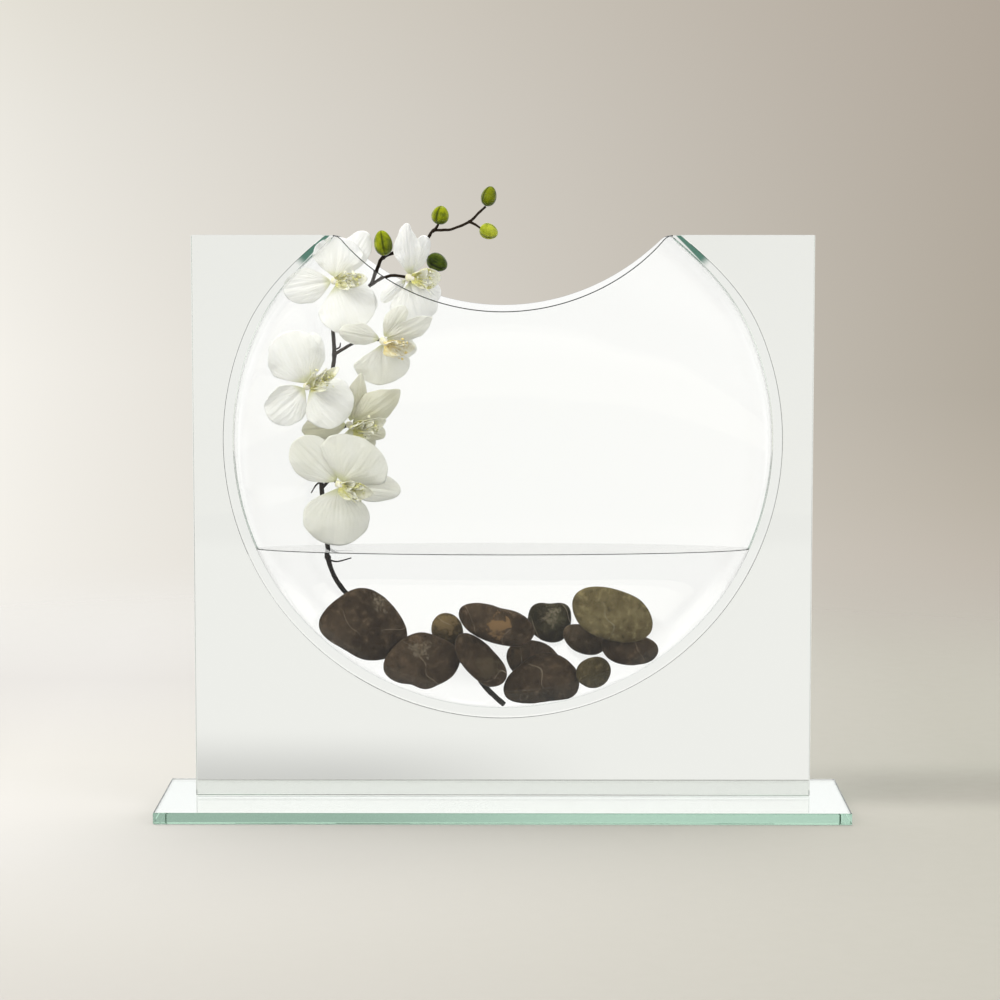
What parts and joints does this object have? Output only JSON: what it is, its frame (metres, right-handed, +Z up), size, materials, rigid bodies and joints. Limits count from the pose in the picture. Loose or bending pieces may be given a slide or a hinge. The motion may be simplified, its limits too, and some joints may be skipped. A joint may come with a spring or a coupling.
{
  "type": "orchid in glass vase",
  "caption": "White moth orchid spray standing in a round water-filled glass bowl with river pebbles, set in an upright glass panel on a glass base.",
  "frame": {"origin": "the middle of the base plate's underside, which rests on the table", "axes": "+X along the panel to the viewer's right, -Y towards the viewer, +Z up"},
  "size_m": [0.6, 0.158, 0.5447],
  "materials": {
    "clear_glass": "polished",
    "bowl_glass": "polished",
    "water": "polished",
    "woody_stem": "matte",
    "dark_pebble": "satin",
    "tan_pebble": "satin",
    "green_pebble": "satin",
    "mossy_pebble": "satin",
    "white_petal": "satin",
    "yellow_lip": "satin",
    "green_bud": "satin"
  },
  "bodies": {
    "root": {"base_plate": "clear_glass", "glass_panel": "clear_glass", "glass_bowl": "bowl_glass", "water": "water", "orchid_stem": "woody_stem", "pebble_big_left": "dark_pebble", "pebble_dark_rounded": "dark_pebble", "pebble_golden_band": "tan_pebble", "pebble_long_slanted": "dark_pebble", "pebble_small_tan": "tan_pebble", "pebble_wide_bottom": "dark_pebble", "pebble_round_behind": "dark_pebble", "pebble_green_veined": "green_pebble", "pebble_small_dark": "dark_pebble", "pebble_long_dark": "dark_pebble", "pebble_little_round": "mossy_pebble", "pebble_mossy_oval": "mossy_pebble", "bloom_1_dorsal_sepal": "white_petal", "bloom_1_upper_sepal": "white_petal", "bloom_1_lower_sepal": "white_petal", "bloom_1_upper_petal": "white_petal", "bloom_1_lower_petal": "white_petal", "bloom_1_lip": "yellow_lip", "bloom_2_dorsal_sepal": "white_petal", "bloom_2_upper_sepal": "white_petal", "bloom_2_lower_sepal": "white_petal", "bloom_2_upper_petal": "white_petal", "bloom_2_lower_petal": "white_petal", "bloom_2_lip": "yellow_lip", "bloom_3_dorsal_sepal": "white_petal", "bloom_3_upper_sepal": "white_petal", "bloom_3_lower_sepal": "white_petal", "bloom_3_upper_petal": "white_petal", "bloom_3_lower_petal": "white_petal", "bloom_3_lip": "yellow_lip", "bloom_4_dorsal_sepal": "white_petal", "bloom_4_upper_sepal": "white_petal", "bloom_4_lower_sepal": "white_petal", "bloom_4_upper_petal": "white_petal", "bloom_4_lower_petal": "white_petal", "bloom_4_lip": "yellow_lip", "bloom_5_dorsal_sepal": "white_petal", "bloom_5_upper_sepal": "white_petal", "bloom_5_lower_sepal": "white_petal", "bloom_5_upper_petal": "white_petal", "bloom_5_lower_petal": "white_petal", "bloom_5_lip": "yellow_lip", "bloom_6_dorsal_sepal": "white_petal", "bloom_6_upper_sepal": "white_petal", "bloom_6_lower_sepal": "white_petal", "bloom_6_upper_petal": "white_petal", "bloom_6_lower_petal": "white_petal", "bloom_6_lip": "yellow_lip", "bud_by_the_rim": "green_bud", "bud_middle": "green_bud", "bud_tip": "green_bud", "bud_right": "green_bud", "bud_rear": "green_bud"}
  },
  "joints": []
}
